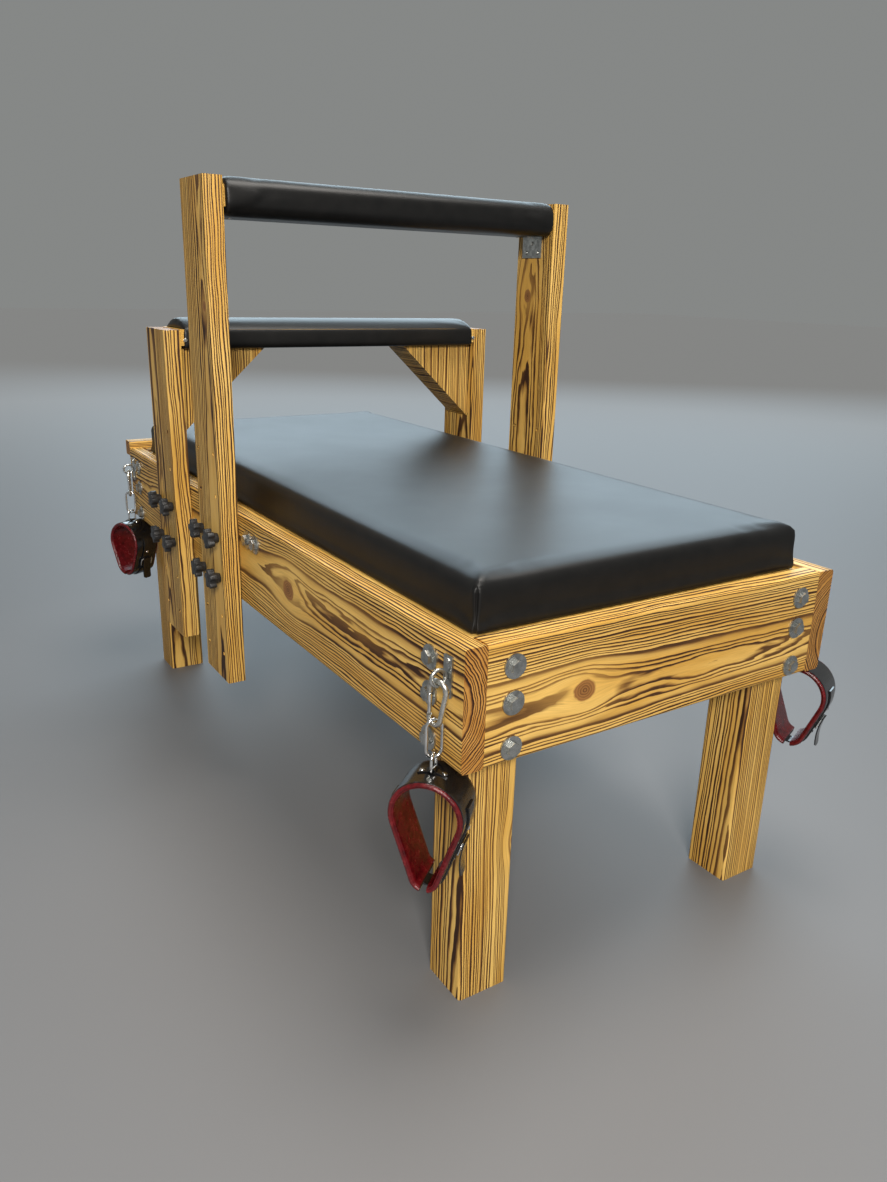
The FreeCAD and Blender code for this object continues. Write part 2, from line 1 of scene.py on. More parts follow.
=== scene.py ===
"""A padded bench of flamed softwood with two padded cross bars and four buckled cuffs."""
import json
import math

import bmesh
import bpy
from mathutils import Matrix, Vector


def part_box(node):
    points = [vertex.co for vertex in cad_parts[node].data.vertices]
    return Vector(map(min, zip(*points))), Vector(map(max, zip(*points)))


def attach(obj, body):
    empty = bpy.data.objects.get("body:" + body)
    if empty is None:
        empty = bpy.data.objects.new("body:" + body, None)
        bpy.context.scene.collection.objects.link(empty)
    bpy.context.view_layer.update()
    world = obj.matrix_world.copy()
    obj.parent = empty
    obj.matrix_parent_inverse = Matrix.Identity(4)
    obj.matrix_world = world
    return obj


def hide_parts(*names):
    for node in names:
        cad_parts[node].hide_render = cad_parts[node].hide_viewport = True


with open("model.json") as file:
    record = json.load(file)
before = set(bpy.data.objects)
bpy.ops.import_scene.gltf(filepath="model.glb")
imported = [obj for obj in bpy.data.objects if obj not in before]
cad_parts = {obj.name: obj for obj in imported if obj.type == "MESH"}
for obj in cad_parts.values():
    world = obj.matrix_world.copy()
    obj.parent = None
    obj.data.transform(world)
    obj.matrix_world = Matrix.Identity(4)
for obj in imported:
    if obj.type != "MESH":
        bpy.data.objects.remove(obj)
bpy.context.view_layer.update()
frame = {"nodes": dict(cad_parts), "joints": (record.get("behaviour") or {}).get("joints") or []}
nodes = frame["nodes"]
UP = Vector((0, 0, 1))


# ---- Boards and posts -----------------------------------------------------------------
# Planed softwood, scorched with a flame and brushed, then oiled: the pale summer wood is
# worn back and the dark winter rings stand up as ridges. Each board is its own cut of a
# trunk, so its rings run round a heart line that lies beside or behind it.
def put(tree, kind, feeds=(), **settings):
    """Adds a node, sets its options, and feeds its inputs with sockets or values."""
    node = tree.nodes.new(kind)
    for key, value in settings.items():
        setattr(node, key, value)
    for key, value in dict(feeds).items():
        if isinstance(value, bpy.types.NodeSocket):
            tree.links.new(value, node.inputs[key])
        else:
            node.inputs[key].default_value = value
    return node


def calc(tree, operation, *terms, clamp=False):
    """One sum on single numbers."""
    return put(tree, "ShaderNodeMath", dict(enumerate(terms)), operation=operation,
               use_clamp=clamp).outputs[0]


def stretched(tree, parts, x, y, z):
    """A vector with its three parts scaled apart, for grain that runs along X."""
    scaled = [calc(tree, "MULTIPLY", part, by) for part, by in zip(parts, (x, y, z))]
    return put(tree, "ShaderNodeCombineXYZ", dict(enumerate(scaled))).outputs[0]


def noise(tree, vector, detail=2.0, rough=0.5, scale=1.0, **settings):
    feeds = {"Scale": scale, "Detail": detail, "Roughness": rough}
    feeds["W" if settings.get("noise_dimensions") == "1D" else "Vector"] = vector
    return put(tree, "ShaderNodeTexNoise", feeds, **settings).outputs[0]


def ramp(tree, value, *stops):
    """A colour ramp from (place, colour or grey) stops."""
    node = put(tree, "ShaderNodeValToRGB", {0: value})
    marks = node.color_ramp.elements
    while len(marks) < len(stops):
        marks.new(0.5)
    for mark, (place, shade) in zip(marks, stops):
        mark.position = place
        mark.color = (*shade, 1) if isinstance(shade, tuple) else (shade, shade, shade, 1)
    return node.outputs[0]


def mix(tree, amount, first, second, blend="MIX"):
    node = put(tree, "ShaderNodeMix", {0: amount, 6: first, 7: second}, data_type="RGBA",
               blend_type=blend)
    return node.outputs[2]


def group(name, takes, gives):
    """An empty node group with named inputs and outputs."""
    tree = bpy.data.node_groups.new(name, "ShaderNodeTree")
    for label, kind in takes:
        tree.interface.new_socket(label, in_out="INPUT", socket_type="NodeSocket" + kind)
    for label, kind in gives:
        tree.interface.new_socket(label, in_out="OUTPUT", socket_type="NodeSocket" + kind)
    return tree, tree.nodes.new("NodeGroupInput").outputs, tree.nodes.new("NodeGroupOutput")


def use(tree, shared, **feeds):
    """Places a shared node group in a material."""
    node = put(tree, "ShaderNodeGroup", node_tree=shared)
    for key, value in feeds.items():
        if isinstance(value, bpy.types.NodeSocket):
            tree.links.new(value, node.inputs[key])
        else:
            node.inputs[key].default_value = value
    return node.outputs


# Knot: the grain parts around it, and inside it has small rings of its own.
knot_group, taken, given = group(
    "knot", [("Vector", "Vector"), ("Along", "Float"), ("Across", "Float"),
             ("Radius", "Float")],
    [("Vector", "Vector"), ("Mask", "Float"), ("Shade", "Float"), ("Near", "Float")])
t = knot_group
place = put(t, "ShaderNodeSeparateXYZ", {0: taken["Vector"]}).outputs
ragged = noise(t, stretched(t, place, 60, 60, 60), 2.0)
ragged = calc(t, "MULTIPLY", calc(t, "SUBTRACT", ragged, 0.5), 0.35)
dx = calc(t, "DIVIDE", calc(t, "SUBTRACT", place[0], taken["Along"]), taken["Radius"])
dy = calc(t, "DIVIDE", calc(t, "SUBTRACT", place[1], taken["Across"]), taken["Radius"])
far = calc(t, "ADD", calc(t, "POWER", calc(t, "DIVIDE", dx, 4.2), 2.0),
           calc(t, "POWER", calc(t, "DIVIDE", dy, 2.3), 2.0))
fade = calc(t, "EXPONENT", calc(t, "MULTIPLY", far, -1.0))
part = calc(t, "MULTIPLY", calc(t, "MULTIPLY", dy, taken["Radius"]),
            calc(t, "MULTIPLY", fade, -0.93))
bent = put(t, "ShaderNodeCombineXYZ", {0: place[0], 1: calc(t, "ADD", place[1], part),
                                       2: place[2]})
reach = calc(t, "SQRT", calc(t, "ADD", calc(t, "POWER", calc(t, "DIVIDE", dx, 1.25), 2.0),
                             calc(t, "POWER", dy, 2.0)))
reach = calc(t, "ADD", reach, ragged)
inside = ramp(t, calc(t, "MULTIPLY", reach, 0.5), (0.0, 1.0), (0.46, 1.0), (0.54, 0.0))
rings = calc(t, "FRACT", calc(t, "MULTIPLY", reach, 4.3))
t.links.new(bent.outputs[0], given.inputs["Vector"])
t.links.new(inside, given.inputs["Mask"])
t.links.new(fade, given.inputs["Near"])
t.links.new(calc(t, "MULTIPLY", rings, calc(t, "SUBTRACT", 1.35, reach)), given.inputs["Shade"])

# Rings of the trunk, seen where the board's faces cut them.
grain_group, taken, given = group(
    "flamed_grain", [("Vector", "Vector"), ("Spacing", "Float"), ("Waver", "Float"),
                     ("Burn", "Float"), ("Pale", "Color"), ("Honey", "Color"),
                     ("Brown", "Color"), ("Char", "Color")],
    [("Color", "Color"), ("Roughness", "Float"), ("Height", "Float")])
t = grain_group
place = put(t, "ShaderNodeSeparateXYZ", {0: taken["Vector"]}).outputs
radius = calc(t, "SQRT", calc(t, "ADD", calc(t, "POWER", place[1], 2.0),
                              calc(t, "POWER", place[2], 2.0)))
sway = calc(t, "SUBTRACT", noise(t, stretched(t, place, 2.0, 9.0, 9.0), 3.0), 0.5)
sway = calc(t, "MULTIPLY", sway, taken["Waver"])
flutter = calc(t, "SUBTRACT", noise(t, stretched(t, place, 14.0, 85.0, 85.0), 2.0), 0.5)
depth = calc(t, "ADD", radius, calc(t, "MULTIPLY", place[0], 0.012))
depth = calc(t, "ADD", calc(t, "ADD", depth, sway), calc(t, "MULTIPLY", flutter, 0.0032))
years = calc(t, "MULTIPLY", noise(t, calc(t, "MULTIPLY", depth, 60.0), 1.0,
                                  noise_dimensions="1D"), 3.2)
phase = calc(t, "FRACT", calc(t, "ADD", calc(t, "DIVIDE", depth, taken["Spacing"]), years))
winter = ramp(t, phase, (0.0, 0.80), (0.05, 0.03), (0.46, 0.06), (0.62, 0.55), (0.74, 1.0),
              (1.0, 0.95))
scorch = ramp(t, noise(t, stretched(t, place, 2.6, 17.0, 17.0), 3.0),
              (0.34, 0.66), (0.58, 1.0))
mask = calc(t, "MULTIPLY", calc(t, "MULTIPLY", winter, scorch), taken["Burn"], clamp=True)
fibre = noise(t, stretched(t, place, 22.0, 900.0, 900.0), 2.0)
tone = ramp(t, noise(t, stretched(t, place, 3.5, 26.0, 26.0), 2.0), (0.35, 0.0), (0.65, 1.0))
base = mix(t, tone, taken["Pale"], taken["Honey"])
shade = mix(t, ramp(t, mask, (0.0, 0.0), (0.55, 0.8), (1.0, 1.0)), base, taken["Brown"])
shade = mix(t, ramp(t, mask, (0.62, 0.0), (0.97, 1.0)), shade, taken["Char"])
shade = mix(t, 0.55, shade, mix(t, 1.0, shade, ramp(t, fibre, (0.3, 0.62), (0.7, 1.0)),
                                "MULTIPLY"))
t.links.new(shade, given.inputs["Color"])
t.links.new(calc(t, "ADD", 0.44, calc(t, "MULTIPLY", mask, 0.18)), given.inputs["Roughness"])
height = calc(t, "ADD", mask, calc(t, "MULTIPLY", fibre, 0.35))
t.links.new(height, given.inputs["Height"])

AXIS = {"X": 0, "Y": 1, "Z": 2}


def new_material(name):
    material = bpy.data.materials.new(name)
    material.use_nodes = True
    return material, material.node_tree, material.node_tree.nodes["Principled BSDF"]


def timber(name, along, out, heart, knots=(), spacing=0.0043, waver=0.016, burn=1.0):
    """Wood for one board: its grain's direction, the way its wide face looks, and how far
    its heart line lies across and behind its centre. Knots are (along, across, radius)."""
    low, high = (Vector(corner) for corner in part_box(name))
    centre = (low + high) / 2
    material, tree, bsdf = new_material("wood_" + name)
    coords = put(tree, "ShaderNodeTexCoord").outputs["Object"]
    centred = put(tree, "ShaderNodeMapping", {0: coords, 1: -centre}).outputs[0]
    parts = put(tree, "ShaderNodeSeparateXYZ", {0: centred}).outputs
    across = next(a for a in "ZYX" if a not in (along, out))
    board = put(tree, "ShaderNodeCombineXYZ", {0: parts[AXIS[along]], 1: parts[AXIS[across]],
                                               2: parts[AXIS[out]]}).outputs[0]
    marks, char = [], burn
    for k_along, k_across, k_radius in knots:
        mark = use(tree, knot_group, Vector=board, Along=k_along, Across=k_across,
                   Radius=k_radius)
        board = mark["Vector"]
        marks.append(mark)
        char = calc(tree, "MULTIPLY", char, calc(tree, "SUBTRACT", 1.0, calc(
            tree, "MULTIPLY", mark["Near"], 0.62)))
    start = 0.37 * len(name)        # where along its trunk the board was cut
    cut = put(tree, "ShaderNodeMapping", {0: board, 1: (start, *heart)}).outputs[0]
    wood = use(tree, grain_group, Vector=cut, Spacing=spacing, Waver=waver, Burn=char,
               Pale=(0.88, 0.56, 0.155, 1), Honey=(0.70, 0.385, 0.072, 1),
               Brown=(0.180, 0.070, 0.013, 1), Char=(0.040, 0.013, 0.004, 1))
    colour = wood["Color"]
    for mark in marks:
        heartwood = ramp(tree, mark["Shade"], (0.0, (0.36, 0.165, 0.045)),
                         (0.6, (0.20, 0.080, 0.020)), (1.0, (0.10, 0.036, 0.010)))
        colour = mix(tree, mark["Mask"], colour, heartwood)
    # Cut ends drink more of the flame and the oil, and come out browner.
    facing = put(tree, "ShaderNodeTexCoord").outputs["Normal"]
    facing = put(tree, "ShaderNodeSeparateXYZ", {0: facing}).outputs[AXIS[along]]
    cut_end = ramp(tree, calc(tree, "ABSOLUTE", facing), (0.75, 0.0), (0.92, 1.0))
    colour = mix(tree, cut_end, colour, mix(tree, 1.0, colour, (0.66, 0.52, 0.44, 1),
                                            "MULTIPLY"))
    relief = put(tree, "ShaderNodeBump", {"Strength": 0.55, "Distance": 0.0009,
                                          "Height": wood["Height"]})
    tree.links.new(colour, bsdf.inputs["Base Color"])
    tree.links.new(wood["Roughness"], bsdf.inputs["Roughness"])
    tree.links.new(relief.outputs[0], bsdf.inputs["Normal"])
    bsdf.inputs["Specular IOR Level"].default_value = 0.35
    nodes[name].data.materials.clear()
    nodes[name].data.materials.append(material)
    return material


timber("side_rail_left", "Y", "X", (-0.012, 0.085), [(-0.249, 0.003, 0.019)], waver=0.020)
timber("side_rail_right", "Y", "X", (0.030, -0.080), [(0.35, -0.02, 0.015)])
timber("end_rail_front", "X", "Y", (0.020, 0.078), [(-0.171, -0.012, 0.017)], waver=0.024)
timber("end_rail_rear", "X", "Y", (-0.03, -0.09), [(0.12, 0.01, 0.014)])
timber("rear_batten", "X", "Y", (0.05, 0.04))
timber("cross_beam", "X", "Y", (0.02, 0.07))
timber("leg_front_left", "Z", "Y", (0.13, 0.05), [(-0.03, 0.05, 0.010)], spacing=0.0047)
timber("leg_front_right", "Z", "Y", (0.12, 0.06), spacing=0.0044)
timber("leg_rear_left", "Z", "Y", (0.02, 0.10), spacing=0.0042)
timber("leg_rear_right", "Z", "Y", (-0.11, 0.05), spacing=0.0045)
timber("tall_upright_left", "Z", "X", (0.035, 0.075), [(0.27, -0.04, 0.008)],
       spacing=0.0045, waver=0.022, burn=1.2)
timber("tall_upright_right", "Z", "X", (-0.015, -0.075), [(0.30, 0.02, 0.012)], waver=0.024)
timber("low_upright_left", "Z", "X", (-0.030, 0.070), spacing=0.0044, waver=0.020)
timber("low_upright_right", "Z", "X", (0.030, -0.070), waver=0.022)
timber("low_gussets", "Z", "X", (0.03, 0.35), spacing=0.0050)
for name in ("mattress_board", "tall_bar_core", "low_bar_core"):
    timber(name, "Y" if name == "mattress_board" else "X", "Z", (0.2, 0.5), burn=0.25)


# ---- Fixings --------------------------------------------------------------------------
# Zinc-plated hex bolts on wide washers, plate screws, threaded inserts, angle brackets and
# screw plates with welded eyes. The plating is dull and patchy, brighter where it is rubbed.
def plated(name, colour, dull, bright, patch=90.0):
    material, tree, bsdf = new_material(name)
    coords = put(tree, "ShaderNodeTexCoord").outputs["Object"]
    patches = noise(tree, coords, 3.0, scale=patch)
    specks = noise(tree, coords, 2.0, scale=patch * 9)
    dark = tuple(c * 0.55 for c in colour)
    shade = ramp(tree, patches, (0.30, dark), (0.62, colour))
    tree.links.new(shade, bsdf.inputs["Base Color"])
    rough = ramp(tree, patches, (0.3, dull), (0.7, bright))
    tree.links.new(rough, bsdf.inputs["Roughness"])
    bsdf.inputs["Metallic"].default_value = 1.0
    pits = put(tree, "ShaderNodeBump", {"Strength": 0.25, "Distance": 0.0002,
                                        "Height": specks})
    tree.links.new(pits.outputs[0], bsdf.inputs["Normal"])
    return material


dull_zinc = plated("dull_zinc", (0.60, 0.61, 0.59), 0.38, 0.22)
bright_zinc = plated("bright_zinc", (0.80, 0.79, 0.74), 0.34, 0.20)
bright_steel = plated("bright_steel", (0.86, 0.86, 0.85), 0.22, 0.10, 60.0)
for name, metal in (("frame_bolts", dull_zinc), ("rail_inserts", dull_zinc),
                    ("tall_brackets", dull_zinc), ("eye_plates", dull_zinc),
                    ("wood_screws", bright_zinc), ("tall_screws", bright_zinc),
                    ("low_screws", bright_zinc)):
    nodes[name].data.materials.clear()
    nodes[name].data.materials.append(metal)
CORNERS = ("front_left", "front_right", "rear_left", "rear_right")
for corner in CORNERS:
    for kind, metal in (("hook_", bright_zinc), ("gate_", bright_steel),
                        ("link_", bright_steel)):
        nodes[kind + corner].data.materials.clear()
        nodes[kind + corner].data.materials.append(metal)


# ---- Mattress and bar pads ------------------------------------------------------------
# Foam on a board, wrapped in black upholstery vinyl with a fine pressed grain. The cover is
# pulled down and stapled underneath, so the faces crown and the edges stay soft.
vinyl, tree, bsdf = new_material("black_vinyl")
coords = put(tree, "ShaderNodeTexCoord").outputs["Object"]
pebble = put(tree, "ShaderNodeTexVoronoi", {"Vector": coords, "Scale": 620.0},
             feature="SMOOTH_F1").outputs[0]
softness = noise(tree, coords, 3.0, scale=5.0)
worn = noise(tree, coords, 4.0, scale=38.0)
tree.links.new(ramp(tree, worn, (0.3, (0.0040, 0.0040, 0.0040)), (0.7, (0.0070, 0.0066, 0.0064))),
               bsdf.inputs["Base Color"])
tree.links.new(ramp(tree, softness, (0.3, 0.39), (0.7, 0.43)), bsdf.inputs["Roughness"])
grain = put(tree, "ShaderNodeBump", {"Strength": 0.22, "Distance": 0.0003, "Height": pebble})
tree.links.new(grain.outputs[0], bsdf.inputs["Normal"])
bsdf.inputs["Specular IOR Level"].default_value = 0.30


def stuffed(name, node, body, voxel, lift, held_below, passes):
    """A cover blown up from inside: the CAD solid remeshed, and pushed out by air pressure
    as cloth, with each point's travel capped and the part that is stapled held."""
    source = nodes[node].data
    low, high = (Vector(corner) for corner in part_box(node))
    bm = bmesh.new()
    bm.from_mesh(source)
    bmesh.ops.remove_doubles(bm, verts=bm.verts, dist=1e-5)
    middle = (low + high) / 2
    for v in bm.verts:
        for axis in range(3):
            room = (high - low)[axis] / 2
            pull = min(lift * 0.5, room * 0.2)
            if axis == 2 and v.co.z < middle.z:
                continue
            v.co[axis] -= math.copysign(pull, v.co[axis] - middle[axis])
    mesh = bpy.data.meshes.new(name)
    bm.to_mesh(mesh)
    bm.free()
    piece = bpy.data.objects.new(name, mesh)
    bpy.context.collection.objects.link(piece)
    solid = piece.modifiers.new("even", "REMESH")
    solid.mode = "VOXEL"
    solid.voxel_size = voxel
    bpy.context.view_layer.update()
    even = bpy.data.meshes.new_from_object(
        piece.evaluated_get(bpy.context.evaluated_depsgraph_get()))
    piece.modifiers.clear()
    piece.data = even
    held = piece.vertex_groups.new(name="held")
    held.add([v.index for v in even.vertices if v.co.z < held_below], 1.0, "REPLACE")
    start = [v.co.copy() for v in even.vertices]
    cloth = piece.modifiers.new("air", "CLOTH")
    cloth.settings.use_pressure = True
    cloth.settings.uniform_pressure_force = 4.0
    cloth.settings.effector_weights.gravity = 0.0
    cloth.settings.vertex_group_mass = "held"
    cloth.settings.quality = 4
    cloth.collision_settings.use_collision = False
    for step in range(1, 21):
        bpy.context.scene.frame_set(step)
    blown = piece.evaluated_get(bpy.context.evaluated_depsgraph_get()).to_mesh()
    ends = [v.co.copy() for v in blown.vertices]
    piece.modifiers.clear()
    bpy.context.scene.frame_set(1)
    for v, a, b in zip(even.vertices, start, ends):
        travel = b - a
        if travel.length > lift:
            travel *= lift / travel.length
        v.co = a + travel
    piece.vertex_groups.clear()
    bm = bmesh.new()
    bm.from_mesh(piece.data)
    for _ in range(passes):
        bmesh.ops.smooth_vert(bm, verts=bm.verts, factor=0.5, use_axis_x=True,
                              use_axis_y=True, use_axis_z=True)
    bm.to_mesh(piece.data)
    bm.free()
    for face in piece.data.polygons:
        face.use_smooth = True
    piece.data.materials.clear()
    piece.data.materials.append(vinyl)
    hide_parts(node)
    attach(piece, body)
    return piece


bed_low, bed_high = (Vector(corner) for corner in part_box("mattress"))
bed = stuffed("mattress_cover", "mattress", "bench", 0.006, 0.005, bed_low.z + 0.010,
              2)
# The cover's folded corners: a tuck down each upright edge, from just under the top.
tuck_deep, tuck_wide, tuck_reach = 0.0042, 0.0024, 0.020
bm = bmesh.new()
bm.from_mesh(bed.data)
for side in (-1, 1):
    for end in (-1, 1):
        edge = Vector((bed_high.x * side, bed_high.y * end, 0))
        near = [e for e in bm.edges
                if all((v.co.xy - edge.xy).length < tuck_reach * 1.4 for v in e.verts)]
        bmesh.ops.subdivide_edges(bm, edges=near, cuts=3, use_grid_fill=True)
        inward = Vector((-side, -end, 0)).normalized()
        level = inward.cross(UP)
        for v in bm.verts:
            if (v.co.xy - edge.xy).length > tuck_reach * 1.4:
                continue
            off = (v.co - edge).dot(level)
            start = min(1.0, max(0.0, (bed_high.z - 0.012 - v.co.z) / 0.012))
            depth = tuck_deep * math.exp(-(off / tuck_wide) ** 2) * start
            v.co += inward * depth
bm.to_mesh(bed.data)
bm.free()
for face in bed.data.polygons:
    face.use_smooth = True
low_pad_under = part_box("low_bar_pad")[0][2]
stuffed("tall_pad_cover", "tall_bar_pad", "tall_frame", 0.004, 0.003, -1.0, 6)
stuffed("low_pad_cover", "low_bar_pad", "low_frame", 0.0045, 0.003, low_pad_under + 0.004,
        12)


# ---- Star knobs -----------------------------------------------------------------------
# Moulded black plastic, five lobes with eased edges on a stepped hub, and a steel stud that
# passes through the upright. Each turns on its own stud.
moulded, tree, bsdf = new_material("moulded_black")
coords = put(tree, "ShaderNodeTexCoord").outputs["Object"]
spark = noise(tree, coords, 2.0, scale=1400.0)
handled = noise(tree, coords, 3.0, scale=70.0)
tree.links.new(ramp(tree, handled, (0.3, (0.012, 0.012, 0.013)), (0.7, (0.024, 0.024, 0.025))),
               bsdf.inputs["Base Color"])
tree.links.new(ramp(tree, handled, (0.3, 0.36), (0.7, 0.52)), bsdf.inputs["Roughness"])
fine = put(tree, "ShaderNodeBump", {"Strength": 0.2, "Distance": 0.0002, "Height": spark})
tree.links.new(fine.outputs[0], bsdf.inputs["Normal"])


def finished(bm, name, body, metal, sharp=35.0):
    """Turns a bmesh into a piece that rides on a body."""
    bmesh.ops.remove_doubles(bm, verts=bm.verts, dist=1e-6)
    bmesh.ops.recalc_face_normals(bm, faces=bm.faces)
    mesh = bpy.data.meshes.new(name)
    bm.to_mesh(mesh)
    bm.free()
    for face in mesh.polygons:
        face.use_smooth = True
    mesh.set_sharp_from_angle(angle=math.radians(sharp))
    mesh.materials.append(metal)
    piece = bpy.data.objects.new(name, mesh)
    bpy.context.collection.objects.link(piece)
    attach(piece, body)
    return piece


def knob_head(bm, radius, dip, lobes, thick):
    """Lobed plate from a circle pulled in between the lobes, raised and softened."""
    made = bmesh.ops.create_circle(bm, cap_ends=True, radius=radius, segments=100)
    for v in made["verts"]:
        turn = math.atan2(v.co.y, v.co.x)
        wave = math.cos(lobes * turn)
        pull = dip * (0.5 - 0.5 * math.tanh(2.6 * wave) / math.tanh(2.6))
        v.co *= (radius - pull) / radius
    face = bm.faces[:]
    raised = bmesh.ops.extrude_face_region(bm, geom=face)
    top = [g for g in raised["geom"] if isinstance(g, bmesh.types.BMVert)]
    bmesh.ops.translate(bm, verts=top, vec=UP * thick)
    rim = [e for e in bm.edges if abs(e.verts[0].co.z - e.verts[1].co.z) < 1e-7
           and len(e.link_faces) == 2 and e.calc_face_angle(0) > 1.0]
    bmesh.ops.bevel(bm, geom=rim, offset=0.0016, segments=3, profile=0.5, affect="EDGES",
                    material=-1)


star_r, lobe_dip, lobes, star_thick = 0.0208, 0.0062, 5, 0.0145
stud_r, threads, thread_cut = 0.0040, 28, 0.9
for name in sorted(nodes):
    if not name.startswith("knob_"):
        continue
    low, high = (Vector(corner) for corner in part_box(name))
    joint = next(j for j in frame["joints"] if j["child"] == name)
    pivot = Vector(joint["pos_m"])
    side = -1 if "_left_" in name else 1
    face_x = abs(high.x if side > 0 else low.x)
    bm = bmesh.new()
    knob_head(bm, star_r, lobe_dip, lobes, star_thick)
    shift = Matrix.Translation((0, 0, face_x - star_thick))
    bmesh.ops.transform(bm, matrix=shift, verts=bm.verts)
    bmesh.ops.create_cone(bm, cap_ends=True, segments=36, radius1=0.0098,
                          radius2=0.0122, depth=0.0112,
                          matrix=Matrix.Translation((0, 0, face_x - 0.0200)))
    bmesh.ops.create_cone(bm, cap_ends=True, segments=28, radius1=0.0072,
                          radius2=0.0060, depth=0.0016,
                          matrix=Matrix.Translation((0, 0, face_x + 0.0001)))
    stand = Matrix.Rotation(math.radians(90 * side), 4, "Y")
    spin = Matrix.Rotation(0.6 + 1.7 * pivot.y + 2.3 * pivot.z * 5, 4, "X")
    bmesh.ops.transform(bm, matrix=Matrix.Translation((0, pivot.y, pivot.z)) @ spin @ stand,
                        verts=bm.verts)
    piece = finished(bm, "star_" + name, name, moulded)
    stud = bmesh.new()
    inner = min(abs(low.x), abs(high.x))
    length = face_x - 0.024 - inner
    bmesh.ops.create_cone(stud, cap_ends=True, segments=24, radius1=stud_r, radius2=stud_r,
                          depth=length, matrix=Matrix.Translation((0, 0, inner + length / 2)))
    rings = [e for e in stud.edges if abs(e.verts[0].co.z - e.verts[1].co.z) > length / 2]
    bmesh.ops.subdivide_edges(stud, edges=rings, cuts=threads - 1)
    for v in stud.verts:
        step = round((v.co.z - inner) / (length / threads))
        if 0 < step < threads and step % 2:
            v.co.x *= thread_cut
            v.co.y *= thread_cut
    bmesh.ops.transform(stud, matrix=Matrix.Translation((0, pivot.y, pivot.z)) @ stand,
                        verts=stud.verts)
    finished(stud, "stud_" + name, name, bright_zinc)
    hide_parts(name)


# ---- Cuffs ----------------------------------------------------------------------------
# A glossy black leather band round a thick red padded lining with a piped edge, open at its
# foot. A strap with a roller buckle runs round it, and a riveted tab holds the D ring.
black_leather, tree, bsdf = new_material("glossy_black_leather")
coords = put(tree, "ShaderNodeTexCoord").outputs["Object"]
cells = put(tree, "ShaderNodeTexVoronoi", {"Vector": coords, "Scale": 900.0}).outputs[0]
creased = noise(tree, coords, 3.0, scale=110.0)
tree.links.new(ramp(tree, creased, (0.3, (0.0030, 0.0030, 0.0034)),
                    (0.7, (0.0085, 0.0080, 0.0085))), bsdf.inputs["Base Color"])
tree.links.new(ramp(tree, creased, (0.3, 0.15), (0.7, 0.27)), bsdf.inputs["Roughness"])
bsdf.inputs["Coat Weight"].default_value = 0.5
bsdf.inputs["Coat Roughness"].default_value = 0.15
tree.links.new(put(tree, "ShaderNodeBump", {"Strength": 0.12, "Distance": 0.0006,
                                            "Height": mix(tree, 0.25, creased, cells)}).outputs[0],
               bsdf.inputs["Normal"])

red_lining, tree, bsdf = new_material("red_lining")
coords = put(tree, "ShaderNodeTexCoord").outputs["Object"]
cells = put(tree, "ShaderNodeTexVoronoi", {"Vector": coords, "Scale": 750.0}).outputs[0]
creased = noise(tree, coords, 4.0, rough=0.6, scale=85.0)
tree.links.new(ramp(tree, creased, (0.28, (0.040, 0.0012, 0.002)), (0.72, (0.15, 0.005, 0.008))),
               bsdf.inputs["Base Color"])
tree.links.new(ramp(tree, creased, (0.3, 0.18), (0.7, 0.30)), bsdf.inputs["Roughness"])
tree.links.new(put(tree, "ShaderNodeBump", {"Strength": 0.7, "Distance": 0.0016,
                                            "Height": mix(tree, 0.2, creased, cells)}).outputs[0],
               bsdf.inputs["Normal"])

crown_r, wide = 0.056, 0.066
hide, padding, strap_wide, strap_thick = 0.003, 0.007, 0.026, 0.003
mouth = 0.012
creases, crease_slant, crease_reach = 17, 120, 0.030
# Which way each hangs, how tall it is and the radius it folds to at its foot.
hangs = {"front_left": (50.0, 0.178, 0.024), "front_right": (68.0, 0.160, 0.030),
         "rear_left": (66.0, 0.150, 0.036), "rear_right": (50.0, 0.168, 0.027)}


def verts_of(items):
    return [g for g in items if isinstance(g, bmesh.types.BMVert)]


def edges_of(items):
    return [g for g in items if isinstance(g, bmesh.types.BMEdge)]


def wrap(bm, profile, crown, foot, gap=0.0):
    """Sweeps a profile round a cuff's egg shape, which stands in the XZ plane with the
    centre of its crown at the origin. The profile starts at the foot. The height and the
    foot's radius are those of the corner being made."""
    drop = tall - crown_r - foot_r
    lean = math.asin((crown - foot) / drop)
    low = Vector((0, 0, -drop))
    start = gap / 2 / foot
    bmesh.ops.rotate(bm, verts=verts_of(profile), cent=low,
                     matrix=Matrix.Rotation(-start, 3, "Y"))
    run = math.sqrt(drop ** 2 - (crown - foot) ** 2) / 10
    still = {"axis": (0, -1, 0), "angle": 0.0, "steps": 10}
    turn = {"axis": (0, -1, 0), "angle": math.pi / 2 - lean - start, "steps": 7, "cent": low}
    last = bmesh.ops.spin(bm, geom=profile, **turn)["geom_last"]
    rise = Vector((math.sin(lean), 0, math.cos(lean))) * run
    last = bmesh.ops.spin(bm, geom=last, dvec=rise, **still)["geom_last"]
    last = bmesh.ops.spin(bm, geom=last, axis=(0, -1, 0), angle=math.pi + 2 * lean,
                          steps=36)["geom_last"]
    fall = Vector((math.sin(lean), 0, -math.cos(lean))) * run
    last = bmesh.ops.spin(bm, geom=last, dvec=fall, **still)["geom_last"]
    return bmesh.ops.spin(bm, geom=last, **turn)["geom_last"]


def section(bm, half_y, half_z, centre, square, segments=28):
    """A flat closed outline across the sweep, squarer with a smaller power."""
    ring = bmesh.ops.create_circle(bm, cap_ends=False, radius=1.0, segments=segments)["verts"]
    for v in ring:
        y = math.copysign(abs(v.co.x) ** square, v.co.x) * half_y
        z = math.copysign(abs(v.co.y) ** (square * 1.6), v.co.y) * half_z
        v.co = Vector(centre) + Vector((0, y, z))
    return ring + list({e for v in ring for e in v.link_edges})


